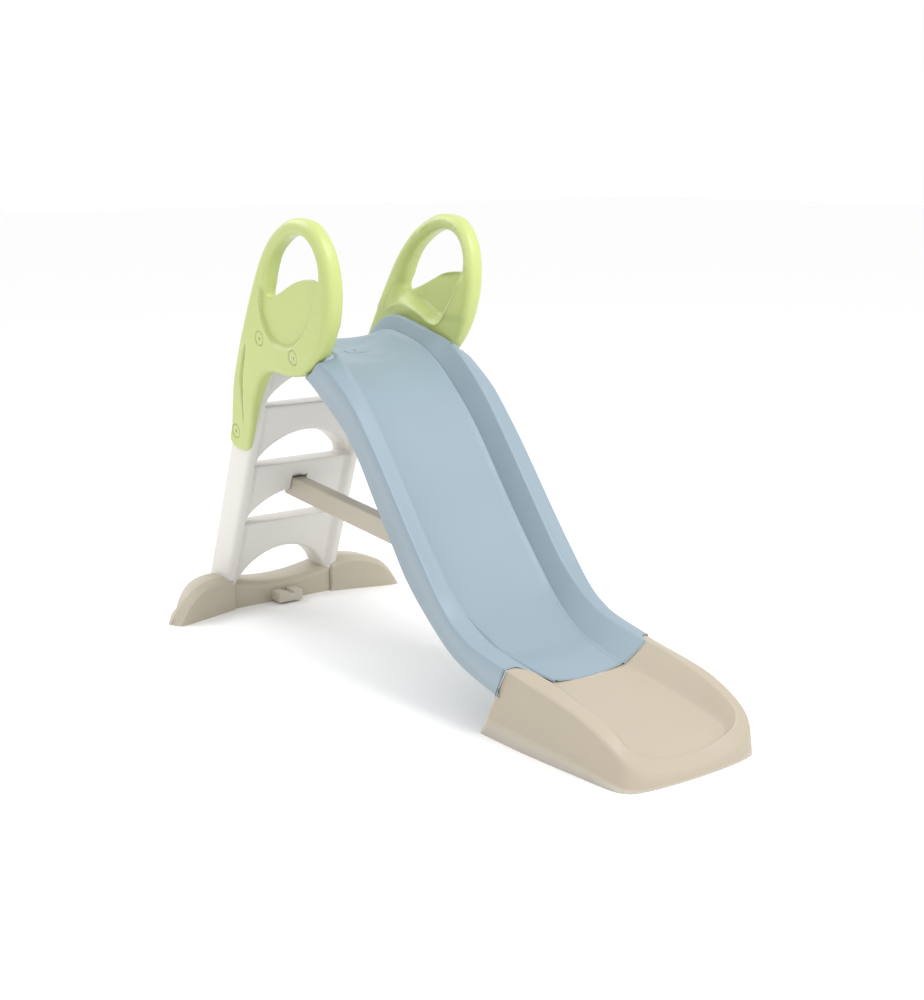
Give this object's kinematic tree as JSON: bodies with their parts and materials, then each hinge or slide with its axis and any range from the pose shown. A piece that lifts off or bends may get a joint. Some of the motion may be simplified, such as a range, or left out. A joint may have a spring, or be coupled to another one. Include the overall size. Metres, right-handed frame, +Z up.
{
  "type": "toddler slide",
  "caption": "Free-standing toddler slide with an S-shaped chute, ladder with flat treads, two hand rings, splayed feet and a centre brace; it folds at the deck.",
  "frame": {"origin": "middle of the footprint, at floor level", "axes": "+X towards the exit end of the slide, +Y across it, +Z up"},
  "size_m": [1.85, 0.778, 1.1376],
  "materials": {
    "chute_plastic": "satin moulded pale grey-blue plastic",
    "handle_plastic": "satin moulded lime plastic",
    "ladder_plastic": "satin moulded warm white plastic",
    "base_plastic": "satin moulded beige plastic",
    "exit_plastic": "satin moulded light beige plastic",
    "steel": "zinc-plated steel",
    "dark_plastic": "moulded bearing plastic",
    "fitting_plastic": "moulded grey-blue plastic",
    "seal_rubber": "soft black rubber"
  },
  "bodies": {
    "chute_body": {"chute": "chute_plastic", "chute_exit": "exit_plastic", "exit_screws": "steel", "water_nozzle": "fitting_plastic", "nozzle_seal": "seal_rubber", "hose_inlet": "fitting_plastic", "inlet_nut": "fitting_plastic", "left_hinge_bush": "dark_plastic", "right_hinge_bush": "dark_plastic"},
    "ladder_body": {"ladder": "ladder_plastic", "rear_crossbar": "base_plastic", "left_foot": "base_plastic", "right_foot": "base_plastic", "foot_screws": "steel", "left_handle": "handle_plastic", "right_handle": "handle_plastic", "left_handle_screws": "steel", "right_handle_screws": "steel", "left_hinge_pin": "steel", "right_hinge_pin": "steel", "left_hinge_clip": "steel", "right_hinge_clip": "steel", "brace_pivot_pin": "steel", "brace_pivot_caps": "base_plastic"},
    "brace_body": {"brace": "base_plastic", "brace_hook_pin": "steel", "brace_hook_caps": "steel"}
  },
  "joints": [
    {"name": "ladder_fold", "type": "hinge", "parent": "chute_body", "child": "ladder_body", "pos_m": [-0.39, 0, 0.805], "axis": [0, -1, 0], "range_deg": [0, 53]},
    {"name": "brace_swing", "type": "hinge", "parent": "ladder_body", "child": "brace_body", "pos_m": [-0.705, 0, 0.362], "axis": [0, 1, 0], "range_deg": [0, 79.5]}
  ],
  "couplings": [
    {"joint": "brace_swing", "follows": "ladder_fold", "ratio": 1.5}
  ]
}
